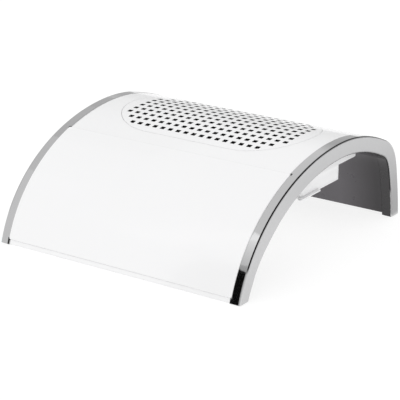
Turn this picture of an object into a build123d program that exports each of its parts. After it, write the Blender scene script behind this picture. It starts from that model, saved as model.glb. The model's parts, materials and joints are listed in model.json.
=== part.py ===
from build123d import *
import math
import os

# Nail dust collector: a white arch that straddles a table, with plated side trims, a stadium
# grille on its crown, three 80 mm axial fans in a tray under the grille, and a dust bag that
# plugs into the tray's collar. Millimetres, +Z up, front towards -Y, origin on the table
# under the middle of the arch.
#
# Places along the arch are given by y, measured from the front foot, or by s, the arc length
# along its side profile. Depths are measured inwards from that profile.

# ---------------------------------------------------------------- driving dimensions
WIDTH = 300.0            # over the two side trims
DEPTH = 316.0            # front foot to rear foot
Y_SHIFT = DEPTH / 2      # from the front-foot datum to the frame's origin
TRIM_W = 12.0            # width of each plated side trim
TRIM_T = 2.2             # top and bottom walls of a trim
GAP = 0.25               # assembly gap between neighbouring mouldings
SHELL_T = 2.5            # wall of the white arch shell
SHELL_DEPTH = 0.3        # the shell sits this far below the trims' surface
PANEL_DEPTH = -0.8       # the front panel stands this proud of the trims
PANEL_T = 2.2            # wall of the front panel
EDGE_R = 2.0             # rounding of the trims' long outer edge
OVERLAP = 1.2            # the front panel laps over the trims by this much
PAD_H = 1.0              # rubber pads under the trims' feet
SEAM_Y = 106.6           # where the front panel meets the crown
LIP_Z = 5.6              # top of the shell's lip under the front panel
SPLIT_Z = 82.0           # where the crown shell meets the rear panel
REAR_BOTTOM_Z = 4.6      # lower edge of the rear panel

GRILLE_Y = 188.5         # centre line of the grille and the fans
CAP_X = 53.0             # centres of the stadium's round ends
CAP_R = 62.5             # radius of the stadium's round ends
GRILLE_T = 2.0           # wall of the grille plate
PITCH_X, PITCH_Y = 9.88, 11.05   # grid of the grille's square holes
HOLE = 5.1               # side of a square hole
HOLE_CAP_R = 58.6        # perforated field stops at this radius
COLUMNS = 21
ROW_FIRST = [3, 2, 1, 1, 1, 1, 1, 1, 2, 3]   # first column of each row, front to rear
CROWN_Z0, CROWN_Z1 = 90, 130     # height range of the cutters that pass through the crown
PEG_R = 1.5

FAN = 80.0               # fan frame side
FAN_T = 25.0             # fan frame depth
FAN_PITCH = 82.0
FAN_BORE_R = 38.25
FAN_HOLE = 71.5          # spacing of the fan's corner holes
FLANGE_T = 4.0           # thickness of the frame's lower and upper flanges
FAN_Z = 81.5             # underside of the fans
TRAY_X, TRAY_Y0, TRAY_Y1 = 129.0, 126.0, 253.0
TRAY_T = 2.0
TRAY_Z = FAN_Z - TRAY_T
COLLAR_X, COLLAR_Y, COLLAR_Z, COLLAR_T = 125.0, 40.0, 62.4, 2.5   # half sizes, bottom, wall

TAB_Y = 164.0            # middle of the bag frame's finger tabs
SHELF_Z, SHELF_T = 84.0, 2.0     # underside and thickness of the rear panel's shelf

SWITCH_X, JACK_X, PORT_Z = -96.0, -68.0, 36.0
TERMINAL_X = 5.0         # switch terminals, either side of the switch's middle
CONNECTOR_X, CONNECTOR_Y = -58.0, 241.5
CONNECTOR_HALF_X, CONNECTOR_HALF_Y = 9, 5
LEADS_X = CONNECTOR_X - 1.0      # middle of the two supply leads where they enter the tray

SIDES = (-1, 1)
FANS = (("left", -FAN_PITCH), ("centre", 0.0), ("right", FAN_PITCH))
FAN_CORNERS = [(sx * FAN_HOLE / 2, sy * FAN_HOLE / 2) for sx in SIDES for sy in SIDES]
PEGS = [(sx * 30.0, y) for sx in SIDES for y in (GRILLE_Y - 57.5, GRILLE_Y + 57.5)]
TRAY_SCREWS = [(sx * 112.0, y) for sx in SIDES for y in (137.0, 240.5)]
SHELF_SCREWS = [(x, 279.0) for x in (-112.0, -38.0, 38.0, 112.0)]

# widths and depths that follow from the ones above
INNER = WIDTH / 2 - TRIM_W           # inner side of the trims
WALL_X = INNER - GAP                 # half width of the parts between the trims
PANEL_X = INNER + OVERLAP            # half width of the front panel
SHELF_X = WALL_X - 3.4               # half width of the rear panel's shelf
SHELL_INSIDE = SHELL_DEPTH + SHELL_T
PANEL_INSIDE = PANEL_DEPTH + PANEL_T
UNDER_PANEL = PANEL_INSIDE + 0.2     # outer face of the shell under the front panel

os.makedirs("parts", exist_ok=True)


def save(name, *shapes):
    """Write all solids of the shapes to one STEP file."""
    solids = [solid for shape in shapes for solid in shape.solids()]
    out = solids[0] if len(solids) == 1 else Compound(children=solids)
    export_step(out, f"parts/{name}.step")


# ---------------------------------------------------------------- the arch's side profile
CREST = (188, 115.2)
# Bezier control points (y, z) from the front foot to the rear foot, and the steps in each
CURVES = [
    ((0, 0), (24.3, 80.4), (111.3, 115.2), CREST, 160),
    (CREST, (220, 115.2), (251.6, 107.9), (284, 92.3), 90),
    ((284, 92.3), (300.2, 84.5), (305.7, 70.7), (308.6, 56), 60),
    ((308.6, 56), (312.4, 36.4), (315.5, 15), (316, 0), 50),
]


def bezier(p0, p1, p2, p3, steps):
    """Points of a cubic Bezier curve, without its last one."""
    points = []
    for i in range(steps):
        t = i / steps
        a, b, c, d = (1 - t) ** 3, 3 * t * (1 - t) ** 2, 3 * t * t * (1 - t), t ** 3
        points.append((a * p0[0] + b * p1[0] + c * p2[0] + d * p3[0],
                       a * p0[1] + b * p1[1] + c * p2[1] + d * p3[1]))
    return points


# both ends run on below the table, so that the parts can be trimmed level
PROFILE = [(-2.4, -8.0), (-1.2, -4.0)]
for curve in CURVES:
    PROFILE += bezier(*curve)
PROFILE += [(316, 0), (316.05, -4.0), (316.1, -8.0)]
ARC = [0.0]              # arc length at each point of the profile
for start, end in zip(PROFILE[:-1], PROFILE[1:]):
    ARC.append(ARC[-1] + math.dist(start, end))
LENGTH = ARC[-1]


def profile_at(s):
    """Point on the profile at arc length s, and the unit normal that points into the arch."""
    s = min(max(s, 0.0), LENGTH)
    i = max(k for k in range(len(ARC) - 1) if ARC[k] <= s)
    u = (s - ARC[i]) / (ARC[i + 1] - ARC[i])
    start, end = PROFILE[i], PROFILE[i + 1]
    point = (start[0] + u * (end[0] - start[0]), start[1] + u * (end[1] - start[1]))
    before, after = PROFILE[max(0, i - 2)], PROFILE[min(len(PROFILE) - 1, i + 3)]
    ty, tz = after[0] - before[0], after[1] - before[1]
    size = math.hypot(ty, tz)
    return point, (tz / size, -ty / size)


def s_at_y(y):
    """Arc length at distance y, on the upper part of the arch."""
    return min((abs(p[0] - y), s) for p, s in zip(PROFILE, ARC) if p[1] > 60)[1]


def s_at_z(z, rear):
    """Arc length at height z, on the rear or the front flank."""
    return min((abs(p[1] - z), s) for p, s in zip(PROFILE, ARC)
               if (p[0] > CREST[0]) == rear)[1]


def outer_z(y):
    """Height of the arch's surface over distance y from the front foot."""
    for start, end in zip(PROFILE[2:-3], PROFILE[3:-2]):
        if start[0] <= y <= end[0]:
            return start[1] + (end[1] - start[1]) * (y - start[0]) / max(end[0] - start[0], 1e-9)
    raise ValueError(y)


S_LIP = s_at_z(LIP_Z, rear=False)
S_SEAM = s_at_y(SEAM_Y)
S_SPLIT = s_at_z(SPLIT_Z, rear=True)
S_REAR_BOTTOM = s_at_z(REAR_BOTTOM_Z, rear=True)
S_PORT = s_at_z(PORT_Z, rear=True)


# ---------------------------------------------------------------- shape helpers
def offset_points(s0, s1, depth, x):
    """Points at a depth below the profile; depth is a number or a function of s."""
    count = max(4, int((s1 - s0) / 9.0) + 1)
    points = []
    for i in range(count + 1):
        s = s0 + (s1 - s0) * i / count
        point, normal = profile_at(s)
        d = depth(s) if callable(depth) else depth
        points.append(Vector(x, point[0] + normal[0] * d - Y_SHIFT, point[1] + normal[1] * d))
    return points


def strip(s0, s1, depth0, depth1, x0, x1):
    """Solid between two depths below the profile, over an arc-length range, from x0 to x1."""
    a = offset_points(s0, s1, depth0, x0)
    b = offset_points(s0, s1, depth1, x0)
    edges = [Edge.make_spline(a), Edge.make_line(a[-1], b[-1]),
             Edge.make_spline(b[::-1]), Edge.make_line(b[0], a[0])]
    return Part() + Solid.extrude(Face(Wire(edges)), Vector(x1 - x0, 0, 0))


def tongue(side, s0, s1, depth0=2.55, depth1=4.55, end_x=WIDTH / 2 - 3.2):
    """Strip on one side that enters the trim's channel."""
    x0, x1 = sorted((side * (WALL_X - 3), side * end_x))
    return strip(s0, s1, depth0, depth1, x0, x1)


def block(x0, x1, y0, y1, z0, z1):
    """Axis-aligned block, y from the front foot."""
    return Pos((x0 + x1) / 2, (y0 + y1) / 2 - Y_SHIFT, (z0 + z1) / 2) * Box(
        x1 - x0, y1 - y0, z1 - z0)


def above(z):
    """Block larger than the arch, from height z up."""
    return block(-400, 400, -100, 500, z, 400)


def rod(x, y, z0, z1, radius):
    """Upright cylinder, y from the front foot."""
    return Pos(x, y - Y_SHIFT, (z0 + z1) / 2) * Cylinder(radius, z1 - z0)


def stadium(radius):
    """Upright stadium through the crown, centred on the grille."""
    sketch = Plane.XY.offset(CROWN_Z0) * (
        Pos(0, GRILLE_Y - Y_SHIFT) * SlotCenterToCenter(2 * CAP_X, 2 * radius))
    return extrude(sketch, CROWN_Z1 - CROWN_Z0)


def round_box(half_x, half_y, z0, z1, radius):
    """Block with rounded upright corners, centred on the grille."""
    sketch = Plane.XY.offset(z0) * (
        Pos(0, GRILLE_Y - Y_SHIFT) * RectangleRounded(2 * half_x, 2 * half_y, radius))
    return extrude(sketch, z1 - z0)


def round_corners(part, radius):
    """Fillet the edges parallel to Z."""
    return fillet(part.edges().filter_by(Axis.Z), radius)


def try_fillet(part, edges, radius, least=0.0):
    """Fillet the edges, or keep the part as it is.

    Guards against a fillet on spline faces that fails, comes out invalid, or leaves
    less than the given share of the volume.
    """
    try:
        rounded = fillet(edges, radius)
        if rounded.is_valid and rounded.volume > least * part.volume:
            return rounded
    except Exception:
        pass
    return part


# ---------------------------------------------------------------- plated side trims
# arc length and depth of the trims' inner face; a smooth step joins each pair
TRIM_KNOTS = [(0, 14.6), (40, 16.5), (95, 19.0), (s_at_y(CREST[0]), 17.2),
              (LENGTH - 90, 17.6), (LENGTH, 15.6)]


def trim_depth(s):
    for (s0, depth0), (s1, depth1) in zip(TRIM_KNOTS[:-1], TRIM_KNOTS[1:]):
        if s <= s1:
            t = (s - s0) / (s1 - s0)
            t = t * t * (3 - 2 * t)
            return depth0 + (depth1 - depth0) * t
    return TRIM_KNOTS[-1][1]


def inset(amount):
    """Depth function that stays this far short of the trims' inner face."""
    return lambda s: trim_depth(s) - amount


def side_trim():
    """Right-hand trim: a channel that opens towards the arch's middle."""
    trim = strip(0, LENGTH, 0.0, trim_depth, INNER, WIDTH / 2)
    trim -= strip(0, LENGTH, TRIM_T, inset(TRIM_T), INNER - 1, WIDTH / 2 - 2.5)
    trim &= above(PAD_H)
    # closed feet over the pads
    for s0, s1 in ((0, 40), (LENGTH - 40, LENGTH)):
        foot = strip(s0, s1, 1.0, inset(1.0), INNER, WIDTH / 2 - 1.0)
        trim += foot & block(INNER - 5, 200, -20, 340, PAD_H, 4.0)
    long_outer = [e for e in trim.edges()
                  if e.length > 300 and abs(e.center().X - WIDTH / 2) < 0.01]
    trim = try_fillet(trim, long_outer, EDGE_R, least=0.9)
    # rebate under the front panel's overlapping side edge
    trim -= strip(S_LIP - 0.6, S_SEAM + 1.1, -3.0, PANEL_INSIDE + 0.15,
                  INNER - 2, INNER + OVERLAP + 0.15)
    return trim


def foot_pads():
    pads = Part()
    for side in SIDES:
        for y in (8.6, 308.2):
            pads += Pos(side * (INNER + TRIM_W / 2), y - Y_SHIFT, PAD_H / 2) * Box(
                8.4, 12.0, PAD_H)
    return pads


# ---------------------------------------------------------------- white arch shell
def arch_shell():
    """Crown, and a recessed part with a lower lip that lies under the front panel."""
    crown = strip(S_SEAM, S_SPLIT, SHELL_DEPTH, SHELL_INSIDE, -WALL_X, WALL_X)
    under = strip(0, S_SEAM + 5, UNDER_PANEL, UNDER_PANEL + SHELL_T, -WALL_X, WALL_X)
    lip = strip(0, S_LIP, SHELL_DEPTH, UNDER_PANEL + SHELL_T, -WALL_X, WALL_X)
    shell = crown + under + lip
    for side in SIDES:
        shell += tongue(side, 16, S_SPLIT)
    # opening for the grille plate, with a ledge it rests on
    shell -= stadium(CAP_R + 0.35)
    ledge = stadium(CAP_R + 2.2) - stadium(CAP_R - 2.6)
    ledge_depth = SHELL_DEPTH + GRILLE_T
    shell += strip(s_at_y(118), s_at_y(258), ledge_depth + 0.1, ledge_depth + 1.2,
                   -125, 125) & ledge
    # screw bosses for the tray and for the rear panel's shelf
    bosses = Part()
    for x, y in TRAY_SCREWS:
        bosses += rod(x, y, FAN_Z + 0.1, outer_z(y) + 5, 4.0)
    for x, y in SHELF_SCREWS:
        bosses += rod(x, y, SHELF_Z + SHELF_T + 0.1, outer_z(y) + 5, 3.6)
    shell += bosses - strip(s_at_y(110), s_at_y(300), -20, SHELL_DEPTH + 1.2, -200, 200)
    shell &= above(PAD_H + 0.3)
    for x, y in TRAY_SCREWS:
        shell -= rod(x, y, FAN_Z - 1, FAN_Z + 13.0, 1.5)
    for x, y in SHELF_SCREWS:
        shell -= rod(x, y, 85, 90.6, 1.3)
    return shell


# ---------------------------------------------------------------- front panel
def is_outside(edge):
    """True where the edge's centre lies outside the arch's profile."""
    centre = edge.center()
    nearest = min((profile_at(LENGTH * k / 400) for k in range(400)),
                  key=lambda q: math.dist((q[0][0] - Y_SHIFT, q[0][1]), (centre.Y, centre.Z)))
    point, normal = nearest
    depth = (centre.Y + Y_SHIFT - point[0]) * normal[0] + (centre.Z - point[1]) * normal[1]
    return depth < 0


def front_panel():
    panel = strip(S_LIP + 0.12, S_SEAM - GAP, PANEL_DEPTH, PANEL_INSIDE, -PANEL_X, PANEL_X)
    corners = [e for e in panel.edges()
               if e.length < 4 and abs(abs(e.center().X) - PANEL_X) < 0.01]
    panel = try_fillet(panel, corners, 2.0)
    outer_edges = [e for e in panel.edges() if e.length > 80 and is_outside(e)]
    return try_fillet(panel, outer_edges, 0.7)


# ---------------------------------------------------------------- rear panel
def port_plane(x):
    """Plane on the rear panel's face: x across, y down the panel, z outward."""
    (y, z), (normal_y, normal_z) = profile_at(S_PORT)
    return Plane(origin=(x, y + normal_y * SHELL_DEPTH - Y_SHIFT, z + normal_z * SHELL_DEPTH),
                 x_dir=(1, 0, 0), z_dir=(0, -normal_y, -normal_z))


SWITCH = port_plane(SWITCH_X)
JACK = port_plane(JACK_X)


def rear_panel():
    rear = strip(S_SPLIT + GAP, S_REAR_BOTTOM, SHELL_DEPTH, SHELL_INSIDE, -WALL_X, WALL_X)
    shelf = block(-SHELF_X, SHELF_X, 271.0, 300.5, SHELF_Z, SHELF_Z + SHELF_T)
    shelf -= strip(s_at_y(250), LENGTH, -5, SHELL_INSIDE + 0.3, -200, 200)
    shelf -= block(-84, -44, 268, 287, 80, 90)      # notch for the leads
    # web that laps under the crown shell, and the rib that joins it to the panel
    web = strip(S_SPLIT - 7, S_SPLIT + 12, SHELL_INSIDE + 0.3, SHELL_INSIDE + 2.3,
                -SHELF_X, SHELF_X)
    web_rib = strip(S_SPLIT + 8, S_SPLIT + 14, SHELL_INSIDE - 0.4, SHELL_INSIDE + 2.3,
                    -SHELF_X, SHELF_X)
    rear = rear + shelf + web + web_rib
    # stiffening rib along the lower edge
    rear += strip(S_REAR_BOTTOM - 4, S_REAR_BOTTOM, SHELL_INSIDE - 0.2, SHELL_INSIDE + 1.6,
                  -WALL_X, WALL_X)
    for x, y in SHELF_SCREWS:
        rear -= rod(x, y, 80, 90, 1.9)
    for side in SIDES:
        rear += tongue(side, S_SPLIT + 14, LENGTH - 30)
    rear -= SWITCH * Box(19.4, 13.2, 30)
    rear -= JACK * Cylinder(5.6, 30)
    return rear


# ---------------------------------------------------------------- inner cover
def inner_cover():
    """Cover over the arch's inner face, open around the fan tray."""
    cover = strip(s_at_z(3.0, rear=False), S_REAR_BOTTOM, inset(2.5), inset(0.2),
                  -WALL_X, WALL_X)
    for side in SIDES:
        for s0, s1 in ((40, 70), (150, 180), (LENGTH - 90, LENGTH - 60)):
            cover += tongue(side, s0, s1, inset(4.3), inset(2.3), WIDTH / 2 - 3.4)
    cover -= block(-TRAY_X - 0.4, TRAY_X + 0.4, TRAY_Y0 - 0.4, TRAY_Y1 + 0.4, 60, 125)
    # notch for the leads
    cover -= block(LEADS_X - 4.2, LEADS_X + 4.2, TRAY_Y1 - 1, TRAY_Y1 + 3.4, 80, 93)
    cover &= above(1.4)
    return cover


# ---------------------------------------------------------------- grille plate
def grille_plate():
    plate = strip(s_at_y(118), s_at_y(259), SHELL_DEPTH, SHELL_DEPTH + GRILLE_T,
                  -125, 125) & stadium(CAP_R)
    holes = []
    for row, first in enumerate(ROW_FIRST):
        y = GRILLE_Y + (row - (len(ROW_FIRST) - 1) / 2) * PITCH_Y
        for column in range(first, COLUMNS + 2 - first):
            x = (column - (COLUMNS + 1) / 2) * PITCH_X
            holes.append(Pos(x, y - Y_SHIFT) * Rectangle(HOLE, HOLE))
    field = Sketch() + holes
    field &= Pos(0, GRILLE_Y - Y_SHIFT) * SlotCenterToCenter(2 * CAP_X, 2 * HOLE_CAP_R)
    plate -= extrude(Plane.XY.offset(CROWN_Z0) * field, CROWN_Z1 - CROWN_Z0)
    # two locating pegs on each long side drop into the tray's posts
    for x, y in PEGS:
        plate += rod(x, y, 98.0, outer_z(y) - 1.2, PEG_R)
    return plate


# ---------------------------------------------------------------- fan tray with the bag collar
def fan_tray():
    tray = block(-TRAY_X, TRAY_X, TRAY_Y0, TRAY_Y1, TRAY_Z, FAN_Z)
    walls = block(-TRAY_X, TRAY_X, TRAY_Y0, TRAY_Y1, TRAY_Z, 120) - block(
        -TRAY_X + 2, TRAY_X - 2, TRAY_Y0 + 2, TRAY_Y1 - 2, 70, 130)
    walls -= strip(s_at_y(100), s_at_y(275), -20, SHELL_INSIDE + 0.9, -200, 200)
    tray += walls
    for x, y in PEGS:
        tray += rod(x, y, FAN_Z - 1, 100.5, 3.0) - rod(x, y, 97.0, 110, PEG_R + 0.25)
    tray += round_box(COLLAR_X, COLLAR_Y, COLLAR_Z, TRAY_Z + 0.5, 5.0) - round_box(
        COLLAR_X - COLLAR_T, COLLAR_Y - COLLAR_T, COLLAR_Z - 5, TRAY_Z + 5, 3.0)
    for _, x in FANS:
        tray -= rod(x, GRILLE_Y, TRAY_Z - 1, FAN_Z + 1, FAN_BORE_R - 1.0)
        for dx, dy in FAN_CORNERS:
            tray -= rod(x + dx, GRILLE_Y + dy, TRAY_Z - 1, FAN_Z + 1, 2.1)
    for x, y in TRAY_SCREWS:
        tray -= rod(x, y, TRAY_Z - 1, FAN_Z + 1, 1.9)
    # cable port in the rear wall
    tray -= block(CONNECTOR_X - 6, CONNECTOR_X + 6, TRAY_Y1 - 4, TRAY_Y1 + 2, 84, 92)
    return tray


# ---------------------------------------------------------------- screws
def cut_cross(screw, x, y, z, length, depth):
    """Cut a cross recess centred on height z."""
    for angle in (0, 90):
        screw -= Pos(x, y - Y_SHIFT, z) * Rot(0, 0, angle) * Box(length, 0.9, depth)
    return screw


def pan_screws(spots, head_z, shank_r, head_r, head_h, shank_h):
    """Pan-head screws with their heads under head_z and shanks pointing up."""
    out = Part()
    for x, y in spots:
        head = rod(x, y, head_z - head_h, head_z, head_r)
        rim = head.edges().filter_by(GeomType.CIRCLE).group_by(Axis.Z)[0]
        head = fillet(rim, head_h * 0.55)
        screw = head + rod(x, y, head_z - 0.01, head_z + shank_h, shank_r)
        out += cut_cross(screw, x, y, head_z - head_h, head_r * 1.1, 1.8)
    return out


def fan_screws():
    """Screws from above, through the lower flange in each fan's corners and the tray."""
    flange_top = FAN_Z + FLANGE_T
    head_top = flange_top + 2.2
    out = Part()
    for _, fan_x in FANS:
        for dx, dy in FAN_CORNERS:
            x, y = fan_x + dx, GRILLE_Y + dy
            screw = rod(x, y, TRAY_Z - 0.6, flange_top + 0.02, 1.9)
            head = rod(x, y, flange_top + 0.02, head_top, 3.3)
            screw += fillet(head.edges().filter_by(GeomType.CIRCLE).group_by(Axis.Z)[-1], 1.1)
            out += cut_cross(screw, x, y, head_top, 3.8, 2.0)
    return out


# ---------------------------------------------------------------- fans
# Each fan part is built about the fan's axis, with z = 0 at the frame's underside.
SHAFT_R = 1.5
BEARING_R = 3.0
TUBE_R = 4.4             # outside of the bearing tube
HUB_R = 17.0
HUB_BORE_R = 15.2        # inside of the hub's cup, where the magnet sits
BLADES = 7
TIP_R = 37.35
BLADE_Z = 13.2           # mid-height of the blades
# radius, twist in degrees, chord, camber, thickness
BLADE_SECTIONS = [(15.9, 47, 21, 1.6, 1.9), (26.0, 39, 25, 1.9, 1.6), (37.3, 31, 29, 2.1, 1.3)]


def disc(radius, height, z=0):
    """Cylinder on the fan's axis that stands on height z."""
    return Pos(0, 0, z) * Cylinder(radius, height, align=(Align.CENTER, Align.CENTER, Align.MIN))


def slab(side, height):
    """Square block on the fan's axis that stands on z = 0."""
    return Box(side, side, height, align=(Align.CENTER, Align.CENTER, Align.MIN))


def fan_frame():
    frame = round_corners(slab(FAN, FAN_T), 3.0)
    frame -= Cylinder(FAN_BORE_R, FAN_T * 3)
    # the corners are open between a lower and an upper flange
    open_h = FAN_T - 2 * FLANGE_T
    frame -= Pos(0, 0, FLANGE_T) * (slab(FAN + 2, open_h) - disc(FAN_BORE_R + 1.6, open_h))
    for x, y in FAN_CORNERS:
        frame -= Pos(x, y, 0) * Cylinder(2.15, 80)
    # motor base, its four struts and the bearing tube
    frame += disc(HUB_R, 2.4)
    for angle in (20, 110, 200, 290):
        frame += Rot(0, 0, angle) * Pos(27.5, 0, 1.3) * Box(24.0, 3.6, 2.6)
    frame += disc(TUBE_R, 14.5)
    frame -= disc(BEARING_R, 30, 1.4)
    return frame


def blade_section(radius, twist, chord, camber, thickness):
    """Cambered blade section on a plane square to the radius."""
    plane = Plane(origin=(radius, 0, BLADE_Z), x_dir=(0, 1, 0), z_dir=(1, 0, 0))
    cos, sin = math.cos(math.radians(twist)), math.sin(math.radians(twist))
    top, bottom = [], []
    for i in range(7):
        u = i / 6 - 0.5
        bulge = 1 - 4 * u * u
        half = thickness * (0.35 + 0.65 * bulge) / 2
        for points, sign in ((top, 1), (bottom, -1)):
            x, y = u * chord, camber * bulge + sign * half
            points.append(plane.from_local_coords(
                Vector(x * cos - y * sin, x * sin + y * cos, 0)))
    upper = Edge.make_spline(top)
    lower = Edge.make_spline(bottom[::-1])
    return Face(Wire([upper, Edge.make_line(upper @ 1, lower @ 0),
                      lower, Edge.make_line(lower @ 1, upper @ 0)]))


def fan_rotor():
    rotor = disc(HUB_R, 18.4, 4.6)
    rotor = fillet(rotor.edges().filter_by(GeomType.CIRCLE).group_by(Axis.Z)[-1], 2.0)
    rotor -= disc(HUB_BORE_R, 16.8, 4)
    rotor += disc(3.6, 5.0, 17.2)
    blade = Part() + Solid.make_loft(
        [blade_section(*section).outer_wire() for section in BLADE_SECTIONS])
    for i in range(BLADES):
        rotor += Rot(0, 0, 360 / BLADES * i) * blade
    # trim the blade tips, bore for the shaft and clear the blade roots from the cup
    rotor &= disc(TIP_R, 20.2, 3.4)
    rotor -= disc(SHAFT_R, 18.8, 3.0)
    rotor -= disc(HUB_BORE_R, 13.2, 4.0)
    return rotor


def rotor_magnet():
    return Pos(0, 0, 6.0) * (disc(HUB_BORE_R, 11.5) - Cylinder(13.5, 40))


def stator_core():
    """Four poles on a sleeve, each with a curved shoe."""
    core_h = 9.0
    core = disc(6.4, core_h)
    shoes = disc(12.7, core_h) - Cylinder(10.9, 40)
    for angle in (0, 90, 180, 270):
        core += Rot(0, 0, angle) * Pos(8.6, 0, core_h / 2) * Box(5.6, 3.2, core_h)
    for angle in (45, 135, 225, 315):
        shoes -= Rot(0, 0, angle) * Pos(12, 0, 0) * Box(8, 3.4, 60)
    core += shoes
    core -= Cylinder(TUBE_R + 0.05, 60)
    return Pos(0, 0, 6.6) * core


def stator_coils():
    out = Part()
    for angle in (0, 90, 180, 270):
        coil = Pos(8.65, 0, 11.1) * (Box(3.5, 6.0, 11.6) - Box(8, 3.3, 9.1))
        out += Rot(0, 0, angle) * coil
    return out


def shaft_bearings():
    bearing = disc(BEARING_R, 2.6) - Cylinder(SHAFT_R + 0.04, 20)
    return Pos(0, 0, 1.6) * bearing + Pos(0, 0, 11.6) * bearing


def fan_shaft():
    groove = Pos(0, 0, 4.6) * (Cylinder(SHAFT_R + 1, 0.5) - Cylinder(SHAFT_R - 0.35, 2))
    return disc(SHAFT_R, 20.0, 1.8) - groove


def save_fans():
    turning = {"fan_rotor": fan_rotor(), "rotor_magnet": rotor_magnet()}
    fixed = {"fan_frame": fan_frame(), "stator_core": stator_core(),
             "stator_coils": stator_coils(), "shaft_bearings": shaft_bearings(),
             "fan_shaft": fan_shaft()}
    for i, (fan, x) in enumerate(FANS):
        place = Pos(x, GRILLE_Y - Y_SHIFT, FAN_Z)
        for name, part in fixed.items():
            save(f"{name}_{fan}", place * part)
        # each rotor has come to rest at its own angle
        for name, part in turning.items():
            save(f"{name}_{fan}", place * Rot(0, 0, 17 * i) * part)


# ---------------------------------------------------------------- dust bag
FRAME_X, FRAME_Y = COLLAR_X - COLLAR_T - 0.5, COLLAR_Y - COLLAR_T - 0.5   # half sizes
FRAME_T = 1.6


def bag_frame():
    """Ring that enters the collar, with a flange under it and a finger tab on each side."""
    opening = round_box(FRAME_X - FRAME_T, FRAME_Y - FRAME_T, 50, 90, 1.2)
    frame = round_box(FRAME_X, FRAME_Y, COLLAR_Z - 0.2, COLLAR_Z + 7.0, 2.6) - opening
    frame += round_box(COLLAR_X, COLLAR_Y, COLLAR_Z - 1.7, COLLAR_Z - 0.15, 5.0) - opening
    for side in SIDES:
        tab = Pos(side * (COLLAR_X + 1.5), TAB_Y - Y_SHIFT, COLLAR_Z - 0.9) * Box(5.0, 38.0, 1.5)
        frame += round_corners(tab, 1.4)
    frame -= opening
    return frame


def dust_bag():
    bag = round_box(FRAME_X - 1.8, FRAME_Y - 1.8, COLLAR_Z - 0.6, COLLAR_Z + 12.0, 4.0)
    bag -= round_box(FRAME_X - 2.9, FRAME_Y - 2.9, COLLAR_Z + 0.6, COLLAR_Z + 20, 3.0)
    return bag


# ---------------------------------------------------------------- rocker switch
PIVOT = Pos(0, 0, -0.6)  # the rocker's pivot, from the panel's face
ROCKER_TILT = 8.0        # off position
# rocker's end view (y, z) about its pivot
ROCKER_OUTLINE = [(-4.45, 4.3), (0.0, 3.2), (4.45, 4.3), (4.45, 0.2),
                  (1.9, -2.4), (-1.9, -2.4), (-4.45, 0.2)]


def switch_rocker():
    rocker = extrude(Plane.YZ * make_face(Polyline(*ROCKER_OUTLINE, close=True)), 7.5, both=True)
    rocker -= Cylinder(1.05, 40, rotation=(0, 90, 0))
    return SWITCH * (PIVOT * Rot(ROCKER_TILT, 0, 0) * rocker)


def switch_pivot_pin():
    return SWITCH * (PIVOT * Cylinder(1.0, 18.4, rotation=(0, 90, 0)))


def switch_housing():
    """Bezel and hollow body, with a small catch on each end, bored for the pivot pin."""
    housing = SWITCH * (Pos(0, 0, 1.0) * round_corners(Box(21.0, 15.0, 2.0), 1.0))
    housing += SWITCH * (Pos(0, 0, -5.0) * Box(18.9, 12.7, 10.0))
    housing -= SWITCH * (Pos(0, 0, 4.2) * Box(15.6, 9.8, 16.4))
    for side in SIDES:
        housing += SWITCH * (Pos(side * 9.6, 0, -4.4) * Box(0.5, 6, 1.4))
    return housing - switch_pivot_pin()


def switch_terminals():
    terminals = Part()
    for side in SIDES:
        terminals += SWITCH * (Pos(side * TERMINAL_X, 0, -10.9) * Box(4.8, 0.8, 1.8))
    return terminals


# ---------------------------------------------------------------- power jack
JACK_R = 5.4
JACK_PIN_R = 1.05


def power_jack():
    jack = JACK * (Pos(0, 0, 0.9) * Cylinder(6.6, 1.8))
    jack += JACK * (Pos(0, 0, -5.0) * Cylinder(JACK_R, 10.0))
    jack -= JACK * (Pos(0, 0, -2.6) * Cylinder(2.95, 9.0))
    jack -= JACK * (Pos(0, 0, -9.0) * Cylinder(JACK_PIN_R, 3.9))
    return jack


def jack_pin():
    return JACK * (Pos(0, 0, -5.95) * Cylinder(JACK_PIN_R, 11.3))


def jack_nut():
    return JACK * (Pos(0, 0, -5.1) * (
        extrude(RegularPolygon(7.4, 6), 2.4) - Cylinder(JACK_R + 0.02, 20)))


# ---------------------------------------------------------------- wiring
# fan, side of the connector it reaches, start x, height over the tray, shift in y
FAN_LEADS = [("left", -1, -76.0, 3.0, 0.0),
             ("centre", 1, -34.0, 3.0, 0.0),
             ("right", 1, 70.0, 6.4, -1.0)]


def lead(points, radius):
    """Round wire along a spline, y from the front foot."""
    path = Edge.make_spline([Vector(x, y - Y_SHIFT, z) for x, y, z in points])
    section = Plane(origin=path @ 0, z_dir=path % 0) * Circle(radius)
    return sweep(section, path=Wire([path]))


def wire_connector():
    return round_corners(
        block(CONNECTOR_X - CONNECTOR_HALF_X, CONNECTOR_X + CONNECTOR_HALF_X,
              CONNECTOR_Y - CONNECTOR_HALF_Y, CONNECTOR_Y + CONNECTOR_HALF_Y,
              FAN_Z + 0.02, FAN_Z + 9), 1.0)


def inside(x, s, depth):
    """Point in the cavity: x across, s along the arch, depth below its surface."""
    point, normal = profile_at(s)
    return (x, point[0] + normal[0] * depth, point[1] + normal[1] * depth)


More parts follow.
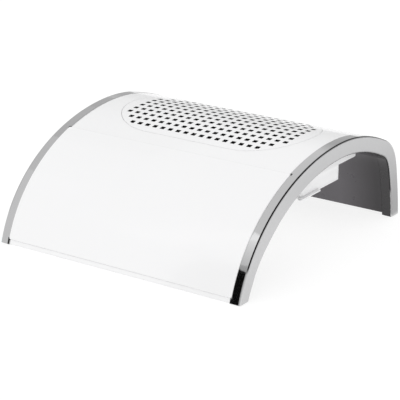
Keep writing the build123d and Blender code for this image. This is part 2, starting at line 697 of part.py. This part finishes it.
def supply_leads():
    """One lead from the switch and one from the jack, up the rear panel to the connector."""
    leads = []
    for x, side, depth in ((SWITCH_X - TERMINAL_X, -1, 12.98), (JACK_X, 1, 12.85)):
        end_x = LEADS_X + 1.6 * side
        leads.append(lead([
            inside(x, S_PORT, depth),
            inside(x + 0.3, S_PORT - 3.5, depth - 0.05),
            inside(x + (end_x - x) * 0.55, S_PORT - 24, 9.5 + side),
            inside(end_x, S_SPLIT + 4, 9.0),
            inside(end_x, S_SPLIT - 8, 9.4),
            inside(end_x, s_at_y(262), 12.4),
            (end_x, TRAY_Y1 - 1.0, 88.0),
            (end_x, CONNECTOR_Y + CONNECTOR_HALF_Y + 0.1, 87.0),
        ], 0.75))
    return leads


def switch_lead():
    """Lead from the switch's other terminal to the jack."""
    return lead([
        inside(SWITCH_X + TERMINAL_X, S_PORT, 12.95),
        inside(SWITCH_X + 8.5, S_PORT + 3.0, 12.9),
        inside(JACK_X - 10.0, S_PORT + 5.0, 12.6),
        inside(JACK_X - 3.3, S_PORT + 0.5, 11.6),
    ], 0.7)


def fan_leads(side, start_x, height, shift_y):
    """Pair of leads from the frame's rear side, then along the tray's rear wall."""
    pair = []
    z = FAN_Z + height
    end_x = CONNECTOR_X + side * (CONNECTOR_HALF_X + 0.15)
    for k in (0, 1):
        y = CONNECTOR_Y - 2.4 + 2.4 * k + shift_y
        x = start_x + side * 2.2 * (1 - k)
        pair.append(lead([
            (x, GRILLE_Y + FAN / 2 + 0.45, z),
            (x, y - 0.2 - 1.4 * (1 - k), z),
            (x - side * 5.0, y, z),
            ((x + end_x) / 2 - side * 2, y, z),
            (end_x, y, z),
        ], 0.7))
    return pair


# ---------------------------------------------------------------- write the parts
right_trim = side_trim()
save("side_trim_right", right_trim)
save("side_trim_left", mirror(right_trim, about=Plane.YZ))
for build in (foot_pads, arch_shell, front_panel, rear_panel, inner_cover, grille_plate,
              fan_tray, fan_screws, bag_frame, dust_bag, switch_rocker, switch_pivot_pin,
              switch_housing, switch_terminals, power_jack, jack_pin, jack_nut,
              wire_connector, switch_lead):
    save(build.__name__, build())
save("tray_screws", pan_screws(TRAY_SCREWS, TRAY_Z - 0.02, shank_r=1.45, head_r=3.0,
                               head_h=2.0, shank_h=13.0))
save("rear_panel_screws", pan_screws(SHELF_SCREWS, SHELF_Z - 0.02, shank_r=1.25, head_r=2.7,
                                     head_h=1.8, shank_h=6.0))
save_fans()
save("supply_leads", *supply_leads())
for fan, *route in FAN_LEADS:
    save(f"fan_leads_{fan}", *fan_leads(*route))
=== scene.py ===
"""Table-top dust collector with three fans, a perforated top grille and a dust bag.

It stands on z = 0 with its width along X, between two plated side trims at about x = -0.14
and x = 0.14. Its front faces -Y, so left is -X and the back is +Y. Units are metres.
"""
import json
import math

import bpy
import numpy as np
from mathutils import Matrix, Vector


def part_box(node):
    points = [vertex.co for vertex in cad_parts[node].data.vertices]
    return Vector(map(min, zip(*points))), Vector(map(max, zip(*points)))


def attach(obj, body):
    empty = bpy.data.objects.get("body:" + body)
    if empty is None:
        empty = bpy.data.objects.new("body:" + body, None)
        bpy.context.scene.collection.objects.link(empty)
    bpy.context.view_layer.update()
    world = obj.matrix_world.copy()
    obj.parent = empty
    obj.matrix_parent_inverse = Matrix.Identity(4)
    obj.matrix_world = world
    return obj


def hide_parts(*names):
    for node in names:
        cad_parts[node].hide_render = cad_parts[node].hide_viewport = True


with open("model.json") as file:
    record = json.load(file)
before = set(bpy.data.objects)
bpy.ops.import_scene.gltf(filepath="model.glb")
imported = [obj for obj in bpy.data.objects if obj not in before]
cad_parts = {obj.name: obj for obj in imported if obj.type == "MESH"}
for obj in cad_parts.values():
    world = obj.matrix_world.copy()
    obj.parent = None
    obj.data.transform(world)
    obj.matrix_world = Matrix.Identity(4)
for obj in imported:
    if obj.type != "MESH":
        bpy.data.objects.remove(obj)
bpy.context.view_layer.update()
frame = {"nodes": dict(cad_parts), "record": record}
nodes = frame["nodes"]
scene = bpy.context.scene


# ------------------------------------------------------------------ node helpers
def feed(socket, value):
    """Link an output to an input socket, or set the input's plain value."""
    if isinstance(value, bpy.types.NodeSocket):
        socket.id_data.links.new(value, socket)
    else:
        socket.default_value = value


def add(tree, kind, inputs=None, **settings):
    """Add a node; inputs maps socket names or places to values or outputs."""
    node = tree.nodes.new(kind)
    for name, value in settings.items():
        setattr(node, name, value)
    for socket, value in (inputs or {}).items():
        feed(node.inputs[socket], value)
    return node


def find_shader(tree):
    return next(n for n in tree.nodes if n.type == "BSDF_PRINCIPLED")


def new_material(name, values=None):
    """A node material, its tree and its main shader with the given input values."""
    mat = bpy.data.materials.new(name)
    mat.use_nodes = True
    shader = find_shader(mat.node_tree)
    for socket, value in (values or {}).items():
        feed(shader.inputs[socket], value)
    return mat, mat.node_tree, shader


def position(tree):
    return add(tree, "ShaderNodeNewGeometry").outputs["Position"]


def coords(tree):
    """Texture coordinates in metres; Scale changes every pattern's size at once."""
    inputs = {0: position(tree), "Scale": 1.0}
    return add(tree, "ShaderNodeVectorMath", inputs, operation="SCALE").outputs[0]


def axes(tree, vector):
    return add(tree, "ShaderNodeSeparateXYZ", {0: vector}).outputs


def calc(tree, operation, *values):
    return add(tree, "ShaderNodeMath", dict(enumerate(values)), operation=operation).outputs[0]


def noise(tree, scale, detail=3.0, rough=0.5, vector=None):
    if vector is None:
        vector = coords(tree)
    inputs = {"Scale": scale, "Detail": detail, "Roughness": rough, "Vector": vector}
    return add(tree, "ShaderNodeTexNoise", inputs).outputs["Fac"]


def remap(tree, value, span, to=(0.0, 1.0)):
    inputs = {"From Min": span[0], "From Max": span[1],
              "To Min": to[0], "To Max": to[1], "Value": value}
    return add(tree, "ShaderNodeMapRange", inputs).outputs["Result"]


def spread_noise(tree, pattern, to):
    """Stretch the middle of a noise pattern over a range of values."""
    return remap(tree, pattern, span=(0.3, 0.7), to=to)


def mix(tree, factor, first, second):
    """Blend two colours, each an RGB tuple or an output."""
    inputs = {0: factor}
    for place, color in ((6, first), (7, second)):
        inputs[place] = (*color, 1.0) if isinstance(color, tuple) else color
    return add(tree, "ShaderNodeMix", inputs, data_type="RGBA").outputs[2]


def bump(tree, shader, height, strength, distance, edge=0):
    """Raise the height pattern, over edges rounded by the radius edge if there is one."""
    inputs = {"Strength": strength, "Distance": distance, "Height": height}
    if edge:
        inputs["Normal"] = add(tree, "ShaderNodeBevel", {"Radius": edge}, samples=4).outputs[0]
    feed(shader.inputs["Normal"], add(tree, "ShaderNodeBump", inputs).outputs[0])


# ------------------------------------------------------------------ plastics and metals
def plastic(name, color, rough, coat=0.0, wear=0.02, grain=900, depth=0.00002, edge=0.0005,
            spread=0.06):
    """Moulded plastic: faint tone drift, uneven gloss and a fine moulded grain."""
    mat, tree, shader = new_material(name, {"Coat Weight": coat, "Coat Roughness": 0.06})
    dark = tuple(c * (1 - wear) for c in color)
    tone = noise(tree, scale=14.0, detail=4.0)
    feed(shader.inputs["Base Color"], mix(tree, tone, dark, color))
    gloss = noise(tree, scale=60.0, detail=5.0, rough=0.6)
    limits = (rough - spread / 2, rough + spread / 2)
    feed(shader.inputs["Roughness"], spread_noise(tree, gloss, to=limits))
    bump(tree, shader, noise(tree, scale=grain, detail=2.0),
         strength=0.25, distance=depth, edge=edge)
    return mat


def metal(name, color, rough, brushed=None, scratch=0.15):
    """Bare metal; brushed stretches the scratch pattern by a factor for each axis."""
    mat, tree, shader = new_material(name, {"Metallic": 1.0})
    vector = coords(tree)
    scale = 220.0
    if brushed is not None:
        stretch = add(tree, "ShaderNodeVectorMath", {0: vector, 1: brushed}, operation="MULTIPLY")
        vector = stretch.outputs[0]
        scale = 1.0
    pattern = noise(tree, scale=scale, detail=4.0, rough=0.6, vector=vector)
    dark = tuple(c * 0.9 for c in color)
    feed(shader.inputs["Base Color"], mix(tree, pattern, dark, color))
    half_spread = 0.04
    limits = (rough - half_spread, rough + half_spread)
    feed(shader.inputs["Roughness"], spread_noise(tree, pattern, to=limits))
    bump(tree, shader, pattern, strength=scratch, distance=0.00001, edge=0.0003)
    return mat


# wear: share of tone lost in dark patches; grain, depth: scale and height of the grain;
# edge: radius of softened edges; spread: range of the roughness
PLASTICS = {
    "white_gloss": dict(color=(0.90, 0.90, 0.905), rough=0.22, coat=0.35, wear=0.012,
                        grain=500, depth=0.000008, spread=0.05),
    "white_satin": dict(color=(0.93, 0.93, 0.935), rough=0.42, grain=1400),
    "inner_grey": dict(color=(0.132, 0.124, 0.135), rough=0.30, wear=0.12,
                       grain=1800, depth=0.00003, edge=0.0004),
    "pad_rubber": dict(color=(0.022, 0.022, 0.022), rough=0.75, wear=0.3,
                       grain=2600, depth=0.00005),
    "fan_black": dict(color=(0.018, 0.018, 0.019), rough=0.42, wear=0.2,
                      grain=2000, depth=0.00003),
    "magnet": dict(color=(0.06, 0.06, 0.065), rough=0.6, wear=0.3, grain=3000, depth=0.00004),
    "switch_black": dict(color=(0.02, 0.02, 0.02), rough=0.5, wear=0.25,
                         grain=3200, depth=0.00004, edge=0.0003),
    "rocker_black": dict(color=(0.014, 0.014, 0.014), rough=0.22, coat=0.3, wear=0.2,
                         edge=0.0004),
    "connector_white": dict(color=(0.72, 0.71, 0.64), rough=0.5, wear=0.06),
    "lead_red": dict(color=(0.42, 0.02, 0.015), rough=0.4, wear=0.1, edge=0),
    "lead_black": dict(color=(0.015, 0.015, 0.015), rough=0.4, wear=0.2, edge=0),
    "trim_inner": dict(color=(0.022, 0.020, 0.022), rough=0.28, coat=0.25, wear=0.15,
                       grain=1800, edge=0.0004),
    "grille_black": dict(color=(0.006, 0.006, 0.006), rough=0.6, wear=0.3, edge=0),
}
METALS = {
    "screw_steel": dict(color=(0.55, 0.55, 0.56), rough=0.32),
    "pin_steel": dict(color=(0.62, 0.62, 0.63), rough=0.2),
    "stator_steel": dict(color=(0.35, 0.35, 0.36), rough=0.4, brushed=(60, 60, 3500)),
    "copper_wire": dict(color=(0.72, 0.30, 0.12), rough=0.3, brushed=(600, 600, 3200),
                        scratch=0.6),
    "bearing_brass": dict(color=(0.62, 0.42, 0.17), rough=0.45),
    "terminal_brass": dict(color=(0.72, 0.58, 0.30), rough=0.3),
}
MAT = {name: plastic(name, **look) for name, look in PLASTICS.items()}
MAT.update({name: metal(name, **look) for name, look in METALS.items()})


def paint_shade_towards_trims(mat):
    """Paint shade into the cover's colour: darker sideways towards the trims, where it turns away
    from the light.
    """
    tree = mat.node_tree
    base = find_shader(tree).inputs["Base Color"]
    plain = base.links[0].from_socket
    side = calc(tree, "ABSOLUTE", axes(tree, position(tree))[0])
    painted_shade = remap(tree, side, span=(0.086, 0.132))
    # painted shade: the colour turns to this dark grey near the trims
    feed(base, mix(tree, painted_shade, plain, (0.034, 0.031, 0.034)))


paint_shade_towards_trims(MAT["inner_grey"])


# ------------------------------------------------------------------ plated trim
def box_mask(tree, *ranges):
    """1 where every value lies inside its (low, high) range, with edges 0.3 mm wide."""
    blur = 0.00015
    total = None
    for value, low, high in ranges:
        for limit, to in ((low, (0.0, 1.0)), (high, (1.0, 0.0))):
            step = remap(tree, value, span=(limit - blur, limit + blur), to=to)
            total = step if total is None else calc(tree, "MULTIPLY", total, step)
    return total


def edge_reflection_line(tree, normal_x, x, z):
    """Mask of a painted dark reflection line on the rounded edge between strip and side face."""
    line = calc(tree, "MULTIPLY",
                remap(tree, normal_x, span=(0.12, 0.22)),
                remap(tree, normal_x, span=(0.66, 0.86), to=(1.0, 0.0)))
    # it stops at the foot, where the rounded edge reflects bright light
    line = calc(tree, "MULTIPLY", line, remap(tree, z, span=(0.029, 0.034)))
    # it is fainter on the left trim
    return calc(tree, "MULTIPLY", line, remap(tree, x, span=(-0.1, 0.1), to=(0.3, 1.0)))


def plated_trim():
    """Bright plated moulding: smooth mirror layer over slight moulding waviness."""
    mat, tree, shader = new_material("plated_trim", {"Metallic": 1.0})
    geometry = add(tree, "ShaderNodeNewGeometry").outputs
    x, y, z = axes(tree, geometry["Position"])
    face_x = calc(tree, "ABSOLUTE", axes(tree, geometry["True Normal"])[0])
    smooth_x = calc(tree, "ABSOLUTE", axes(tree, geometry["Normal"])[0])

    tone = noise(tree, scale=30.0)
    color = mix(tree, tone, (0.60, 0.60, 0.605), (0.63, 0.63, 0.635))
    # painted reflection: a dark line along the trim's rounded outer edge
    color = mix(tree, edge_reflection_line(tree, smooth_x, x, z), color, (0.018, 0.018, 0.019))
    # painted shadow of a gap at the panel's upper corners, and of one beside the lip at the left
    # front foot
    side = calc(tree, "ABSOLUTE", x)
    notch_shadow = box_mask(tree, (side, 0.1370, 0.1405), (y, -0.0530, -0.0500))
    slit_shadow = box_mask(tree, (x, -0.1407, -0.1385), (z, -0.001, 0.0080), (y, -0.2, -0.1))
    gap_shadows = calc(tree, "MAXIMUM", notch_shadow, slit_shadow)
    feed(shader.inputs["Base Color"], mix(tree, gap_shadows, color, (0.03, 0.03, 0.03)))

    # the outer strip is a mirror; the flat side faces carry a fine satin
    strip = noise(tree, scale=90.0, detail=5.0, rough=0.65)
    satin = noise(tree, scale=240.0, detail=4.0, rough=0.6)
    inputs = {0: remap(tree, face_x, span=(0.9, 0.98)),
              2: spread_noise(tree, strip, to=(0.05, 0.08)),
              3: spread_noise(tree, satin, to=(0.40, 0.48))}
    finish = add(tree, "ShaderNodeMix", inputs, data_type="FLOAT")
    feed(shader.inputs["Roughness"], finish.outputs[0])
    bump(tree, shader, noise(tree, scale=26.0, detail=2.0),
         strength=0.10, distance=0.0002, edge=0.0004)
    return mat


MAT["plated_trim"] = plated_trim()


# ------------------------------------------------------------------ bag fabric and foam
def bag_fabric():
    """Thermally bonded non-woven: random fibres plus a grid of small bond points."""
    mat, tree, shader = new_material("bag_fabric", {"Roughness": 0.9, "Sheen Weight": 0.3})
    fibres = noise(tree, scale=2600.0, detail=6.0, rough=0.75)
    cells = add(tree, "ShaderNodeTexVoronoi",
                {"Scale": 420.0, "Randomness": 0.15, "Vector": coords(tree)})
    between_bonds = remap(tree, cells.outputs["Distance"], span=(0.16, 0.3))
    cloth = mix(tree, fibres, (0.70, 0.69, 0.66), (0.88, 0.88, 0.86))
    feed(shader.inputs["Base Color"], mix(tree, between_bonds, (0.62, 0.61, 0.58), cloth))
    bump(tree, shader, calc(tree, "MULTIPLY", fibres, between_bonds),
         strength=0.6, distance=0.0002)
    return mat


def foam_black():
    """Open-cell foam: dark, dull and pitted, with painted shade down in the pits."""
    mat, tree, shader = new_material("foam_black", {"Roughness": 1.0, "Specular IOR Level": 0.1})
    cells = add(tree, "ShaderNodeTexVoronoi", {"Scale": 900.0, "Vector": coords(tree)})
    pits = cells.outputs["Distance"]
    # painted shade: darker towards the middle of each pit
    tone = mix(tree, remap(tree, pits, span=(0.1, 0.6)),
               (0.004, 0.004, 0.004), (0.022, 0.022, 0.023))
    feed(shader.inputs["Base Color"], tone)
    bump(tree, shader, pits, strength=0.8, distance=0.0006)
    return mat


MAT["bag_fabric"] = bag_fabric()

# ------------------------------------------------------------------ finishes of the CAD pieces
slot_of = {part["node"]: part["material_slot"] for part in frame["record"]["subparts"]}
for name, piece in nodes.items():
    piece.data.materials.clear()
    piece.data.materials.append(MAT[slot_of[name]])
    for polygon in piece.data.polygons:
        polygon.material_index = 0


def refinish(name, mat, test):
    """Give the faces of a CAD piece that pass the test a second finish."""
    mesh = nodes[name].data
    mesh.materials.append(mat)
    last_slot = len(mesh.materials) - 1
    for polygon in mesh.polygons:
        if test(polygon.center, polygon.normal):
            polygon.material_index = last_slot


ARCH_MIDDLE_Y, ARCH_MIDDLE_Z = 0.012, 0.02
# rounded outline of the perforated field: two half circles joined by straight sides
GRILLE_HALF_STRAIGHT = 0.053
GRILLE_RADIUS = 0.0600
GRILLE_MIDDLE_Y = 0.0305


def faces_arch_middle(centre, normal):
    to_middle = Vector((0, ARCH_MIDDLE_Y - centre.y, ARCH_MIDDLE_Z - centre.z))
    return abs(normal.x) < 0.35 and normal.dot(to_middle.normalized()) > 0.25


def is_hole_wall(centre, normal):
    beyond = max(abs(centre.x) - GRILLE_HALF_STRAIGHT, 0.0)
    return normal.z < 0.5 and math.hypot(beyond, centre.y - GRILLE_MIDDLE_Y) < GRILLE_RADIUS


# the arch's inner side of each trim is dark and unplated, like the cover between them
for trim in ("side_trim_left", "side_trim_right"):
    refinish(trim, MAT["trim_inner"], faces_arch_middle)
# the walls of the perforations are black: the white face sits on a black moulding
refinish("grille_plate", MAT["grille_black"], is_hole_wall)


def mesh_object(name, verts, faces):
    mesh = bpy.data.meshes.new(name)
    mesh.from_pydata(verts, [], faces)
    mesh.update()
    thing = bpy.data.objects.new(name, mesh)
    scene.collection.objects.link(thing)
    return thing


# ------------------------------------------------------------------ dust bag
BAG_COLUMNS, BAG_ROWS = 120, 40
BAG_INSET = 0.0012
WALL_RUN = 0.0035  # how far in from the edge the cloth slopes down
FOLD_HEIGHT = 0.0016
CLOTH_GAP = 0.0006
LAST_FRAME = 26

bag_low, bag_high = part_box("dust_bag")
bag_bottom = bag_low.z + BAG_INSET
bag_rim = bag_high.z - 0.0010
bag_x, bag_y = (bag_high.x + bag_low.x) / 2, (bag_high.y + bag_low.y) / 2
bag_half_x = (bag_high.x - bag_low.x) / 2 - BAG_INSET
bag_half_y = (bag_high.y - bag_low.y) / 2 - BAG_INSET


def bag_index(column, row):
    return row * (BAG_COLUMNS + 1) + column


def bag_point(column, row):
    """A point of the crumpled tray: sloping walls, and folds that die out at the edge."""
    across, along = -1 + 2 * column / BAG_COLUMNS, -1 + 2 * row / BAG_ROWS
    x, y = bag_x + bag_half_x * across, bag_y + bag_half_y * along
    from_edge = min(bag_half_x * (1 - abs(across)), bag_half_y * (1 - abs(along)))
    z = bag_rim - (bag_rim - bag_bottom) * (1 - math.exp(-(from_edge / WALL_RUN) ** 1.5))
    near_edge = math.exp(-((1 - max(abs(across), abs(along))) * 8) ** 2)
    z += (1 - near_edge) * FOLD_HEIGHT * (
        math.sin(95 * x + 60 * y + 2 * math.sin(140 * y)) * math.sin(170 * y - 40 * x + 1.3)
        + 0.5 * math.sin(330 * x - 190 * y))
    return x, y, max(bag_bottom, min(bag_rim, z))


def bake(thing):
    """Replace an object's mesh and modifiers with the evaluated mesh."""
    depsgraph = bpy.context.evaluated_depsgraph_get()
    mesh = bpy.data.meshes.new_from_object(thing.evaluated_get(depsgraph))
    thing.modifiers.clear()
    thing.data = mesh
    return mesh


def settle(bag):
    """Let gravity settle the folds on a floor, with the cloth's edge held in the frame."""
    held = [bag_index(i, j) for i in range(BAG_COLUMNS + 1) for j in range(BAG_ROWS + 1)
            if i in (0, BAG_COLUMNS) or j in (0, BAG_ROWS)]
    bag.vertex_groups.new(name="pin").add(held, 1.0, "REPLACE")
    cloth = bag.modifiers.new("cloth", "CLOTH")
    cloth.settings.quality = 6
    cloth.settings.mass = 0.12
    cloth.settings.tension_stiffness = 25
    cloth.settings.compression_stiffness = 25
    cloth.settings.bending_stiffness = 2.5
    cloth.settings.shrink_min = -0.035
    cloth.settings.vertex_group_mass = "pin"
    cloth.point_cache.frame_start = 1
    cloth.point_cache.frame_end = LAST_FRAME
    cloth.collision_settings.distance_min = CLOTH_GAP

    corners = ((-0.2, -0.1), (0.2, -0.1), (0.2, 0.1), (-0.2, 0.1))
    support = mesh_object("bag_floor",
                          [(bag_x + x, bag_y + y, bag_bottom - CLOTH_GAP) for x, y in corners],
                          [(0, 1, 2, 3)])
    support.modifiers.new("collision", "COLLISION")
    support.collision.thickness_outer = CLOTH_GAP

    scene.frame_start, scene.frame_end = 1, LAST_FRAME
    for step in range(1, LAST_FRAME + 1):
        scene.frame_set(step)
    mesh = bake(bag)
    bpy.data.objects.remove(support)
    scene.frame_set(1)

    # keep the settled cloth inside the frame
    points = np.empty(len(mesh.vertices) * 3)
    mesh.vertices.foreach_get("co", points)
    points = points.reshape(-1, 3)
    limits = ((bag_x - bag_half_x, bag_x + bag_half_x),
              (bag_y - bag_half_y, bag_y + bag_half_y),
              (bag_bottom, bag_rim))
    for axis, (low, high) in enumerate(limits):
        points[:, axis] = np.clip(points[:, axis], low, high)
    mesh.vertices.foreach_set("co", points.ravel())
    mesh.update()


def dust_bag():
    points = [bag_point(i, j) for j in range(BAG_ROWS + 1) for i in range(BAG_COLUMNS + 1)]
    faces = [(bag_index(i, j), bag_index(i + 1, j), bag_index(i + 1, j + 1), bag_index(i, j + 1))
             for j in range(BAG_ROWS) for i in range(BAG_COLUMNS)]
    bag = mesh_object("bag_cloth", points, faces)
    settle(bag)
    smooth = bag.modifiers.new("smooth", "SUBSURF")
    smooth.levels = smooth.render_levels = 1
    thick = bag.modifiers.new("thick", "SOLIDIFY")
    thick.thickness = 0.0005
    thick.offset = 0.0
    mesh = bake(bag)
    for polygon in mesh.polygons:
        polygon.use_smooth = True
    mesh.materials.clear()
    mesh.materials.append(MAT["bag_fabric"])
    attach(bag, "bag")
    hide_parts("dust_bag")


dust_bag()

# ------------------------------------------------------------------ foam seal round the fans
TRAY_WALL = 0.0026
FAN_GAP = 0.0004
FOAM_RISE = 0.0195  # top of the foam above the underside of the fan frames
FOAM_THICKNESS = 0.004
FOAM_COLUMNS, FOAM_ROWS = 122, 58
FOAM_CELL = 0.0021
TRAY_SHIFT_Y = 0.158  # taken off the y of each hole below
# holes in mirrored pairs: x either side of the middle, the two y places, radius
FOAM_HOLES = (
    (0.112, (0.137, 0.2405), 0.0048),
    (0.030, (0.131, 0.246), 0.0038),
)


def grid_lines(start, end, count, *extra):
    """Evenly spaced lines from start to end, plus the extra ones."""
    even = [start + (end - start) * i / count for i in range(count + 1)]
    return sorted({start, end, *extra, *even})


def foam_seal():
    """Black foam between the fans and the tray's walls; it keeps dust out of the corners."""
    low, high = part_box("fan_tray")
    left_low, left_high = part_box("fan_frame_left")
    right_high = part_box("fan_frame_right")[1]
    fan_x0, fan_x1 = left_low.x - FAN_GAP, right_high.x + FAN_GAP
    fan_y0, fan_y1 = left_low.y - FAN_GAP, left_high.y + FAN_GAP
    top = left_low.z + FOAM_RISE
    xs = grid_lines(low.x + TRAY_WALL, high.x - TRAY_WALL, FOAM_COLUMNS, fan_x0, fan_x1)
    ys = grid_lines(low.y + TRAY_WALL, high.y - TRAY_WALL, FOAM_ROWS, fan_y0, fan_y1)
    holes = [(side * x, y - TRAY_SHIFT_Y, radius)
             for x, places, radius in FOAM_HOLES for side in (-1, 1) for y in places]

    def is_open(x, y):
        return (fan_x0 < x < fan_x1 and fan_y0 < y < fan_y1) or any(
            math.hypot(x - hole_x, y - hole_y) < radius + FOAM_CELL / 2
            for hole_x, hole_y, radius in holes)

    cells = set()
    for i in range(len(xs) - 1):
        for j in range(len(ys) - 1):
            if not is_open((xs[i] + xs[i + 1]) / 2, (ys[j] + ys[j + 1]) / 2):
                cells.add((i, j))

    verts, faces, index = [], [], {}

    def vert(x, y, is_top):
        key = (round(x, 7), round(y, 7), is_top)
        if key not in index:
            index[key] = len(verts)
            wave = 0.00025 * math.sin(900 * x + 400 * y) * math.sin(700 * y - 300 * x)
            verts.append((x, y, top + wave if is_top else top - FOAM_THICKNESS))
        return index[key]

    # neighbour across each side of a cell, in the order of its corners
    neighbours = ((0, -1), (1, 0), (0, 1), (-1, 0))
    for i, j in cells:
        corners = [(xs[i], ys[j]), (xs[i + 1], ys[j]),
                   (xs[i + 1], ys[j + 1]), (xs[i], ys[j + 1])]
        faces.append([vert(*corner, True) for corner in corners])
        faces.append([vert(*corner, False) for corner in corners[::-1]])
        for k, (di, dj) in enumerate(neighbours):
            if (i + di, j + dj) not in cells:
                start, end = corners[k], corners[(k + 1) % 4]
                faces.append([vert(*start, False), vert(*end, False),
                              vert(*end, True), vert(*start, True)])

    foam = mesh_object("foam_seal", verts, faces)
    foam.data.materials.append(foam_black())
    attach(foam, "arch")


foam_seal()


# ------------------------------------------------------------------ table and world
def stage_quad(name, corners, mat):
    quad = mesh_object(name, corners, [(0, 1, 2, 3)])
    quad.data.materials.append(mat)
    return quad


def floor():
    """White table top, clear from below so that the object's underside can be seen."""
    mat, tree, shader = new_material("floor_white", {
        "Base Color": (0.24, 0.24, 0.24, 1), "Roughness": 0.9, "Specular IOR Level": 0.1,
        "Emission Color": (1, 1, 1, 1), "Emission Strength": 0.81})
    backfacing = add(tree, "ShaderNodeNewGeometry").outputs["Backfacing"]
    feed(shader.inputs["Alpha"], calc(tree, "SUBTRACT", 1.0, backfacing))
    half = 30
    stage_quad("floor", [(-half, -half, 0), (half, -half, 0), (half, half, 0), (-half, half, 0)],
               mat)


SKY_CAMERA = 1.0
SKY_DIFFUSE = 1.0
SKY_GLOSSY = 0.84
SKY_GLOSSY_BACK = SKY_GLOSSY * 0.66
SKY_GAP = 0.50


def studio_world():
    """Even white light; reflections see a dimmer gap between two big light panels."""
    world = bpy.data.worlds.new("studio")
    scene.world = world
    world.use_nodes = True
    tree = world.node_tree
    tree.nodes.clear()

    def sky(strength):
        return add(tree, "ShaderNodeBackground", {"Color": (1, 1, 1, 1), "Strength": strength})

    def choose(factor, first, second):
        inputs = {0: factor, 1: first.outputs[0], 2: second.outputs[0]}
        return add(tree, "ShaderNodeMixShader", inputs)

    output = add(tree, "ShaderNodeOutputWorld")
    ray = add(tree, "ShaderNodeLightPath").outputs
    direction = axes(tree, add(tree, "ShaderNodeTexCoord").outputs["Generated"])
    gap = calc(tree, "MULTIPLY",
               remap(tree, direction[0], span=(-0.45, -0.25)),
               remap(tree, direction[0], span=(0.25, 0.45), to=(1.0, 0.0)))
    panels = sky(SKY_GLOSSY)
    # the panels are dimmer towards the back
    feed(panels.inputs["Strength"],
         remap(tree, direction[1], span=(0.72, 0.80), to=(SKY_GLOSSY, SKY_GLOSSY_BACK)))
    reflected = choose(gap, panels, sky(SKY_GAP))
    lighting = choose(ray["Is Glossy Ray"], sky(SKY_DIFFUSE), reflected)
    seen = choose(ray["Is Camera Ray"], lighting, sky(SKY_CAMERA))
    feed(output.inputs[0], seen.outputs[0])


floor()
studio_world()


# ------------------------------------------------------------------ light and flags
def aim(thing, direction):
    thing.rotation_euler = direction.to_track_quat("-Z", "Y").to_euler()


def key_light():
    light = bpy.data.lights.new("key", "AREA")
    light.shape = "RECTANGLE"
    light.size = 1.2
    light.size_y = 0.9
    light.energy = 1.4
    key = bpy.data.objects.new("key", light)
    scene.collection.objects.link(key)
    key.location = (-0.5, -1.3, 1.5)
    aim(key, Vector((0, -0.05, 0.05)) - Vector((-0.5, -1.3, 1.5)))


def card(name, centre, normal, width, height, grey, fade=None):
    """A plain card seen only in reflections.

    fade gives the z where the card starts to vanish, the z where it is gone, and its
    opacity below them.
    """
    mat, tree, shader = new_material(name, {
        "Base Color": (0, 0, 0, 1), "Specular IOR Level": 0.0,
        "Emission Color": (grey, grey, grey, 1), "Emission Strength": 1.0})
    if fade is not None:
        z = axes(tree, position(tree))[2]
        start, end, opacity = fade
        feed(shader.inputs["Alpha"], remap(tree, z, span=(start, end), to=(opacity, 0.0)))
    normal = Vector(normal).normalized()
    if abs(normal.z) > 0.99:
        across = Vector((1, 0, 0))
    else:
        across = Vector((0, 0, 1)).cross(normal).normalized()
    upward = normal.cross(across)
    corners = [Vector(centre) + across * a * width / 2 + upward * b * height / 2
               for a, b in ((-1, -1), (1, -1), (1, 1), (-1, 1))]
    quad = stage_quad(name, corners, mat)
    quad.visible_camera = False
    quad.visible_diffuse = False
    quad.visible_shadow = False
    quad.visible_transmission = False


def flags():
    # the way the right trim's front foot reflects, and a spot out along it
    away = Vector((-0.53, -0.815, 0.223))
    upward = away.cross(Vector((0, 0, 1)).cross(away)).normalized()
    spot = Vector((0.144, -0.15, 0.01)) + away * 0.3
    rise, height, fade_height = 0.035, 0.165, 0.30
    down, up = (0, 0, -1), (0, 0, 1)

    # a dark flag for that foot
    card("flag_front", spot + upward * rise, -away, width=0.13, height=height, grey=0.004)
    # a grey table patch, which takes the shine off the right rear leg's side face
    card("flag_rear", (0.205, 0.25, 0.0012), up, width=0.105, height=0.30, grey=0.60)
    # grey flags overhead that only the left trim's upper half reflects
    card("flag_left", (-0.46, 0.26, 0.46), down, width=0.36, height=0.40, grey=0.66)
    card("flag_left_rear", (-0.66, 0.68, 0.46), down, width=0.38, height=0.44, grey=0.60)
    card("flag_left_front", (-0.46, -0.07, 0.46), down, width=0.36, height=0.26, grey=0.76)
    # a fading flag on top of the dark one
    card("flag_fade", spot + upward * (rise + height / 2 + fade_height / 2), -away,
         width=0.20, height=fade_height, grey=0.06, fade=(0.16, 0.42, 0.55))


key_light()
flags()


# ------------------------------------------------------------------ camera
def camera():
    """Looks at the front from the right and above."""
    lens = bpy.data.cameras.new("camera")
    lens.sensor_width = 36.0
    lens.sensor_fit = "HORIZONTAL"
    lens.lens = 153.54
    lens.clip_start = 0.01
    lens.clip_end = 100
    view = bpy.data.objects.new("camera", lens)
    scene.collection.objects.link(view)
    view.location = (0.9699, -1.4094, 0.6437)
    turn, tilt = math.radians(34.68), math.radians(19.68)
    aim(view, Vector((-math.sin(turn) * math.cos(tilt), math.cos(turn) * math.cos(tilt),
                      -math.sin(tilt))))
    scene.camera = view


camera()
scene.view_settings.view_transform = "Standard"
scene.view_settings.exposure = 0.0
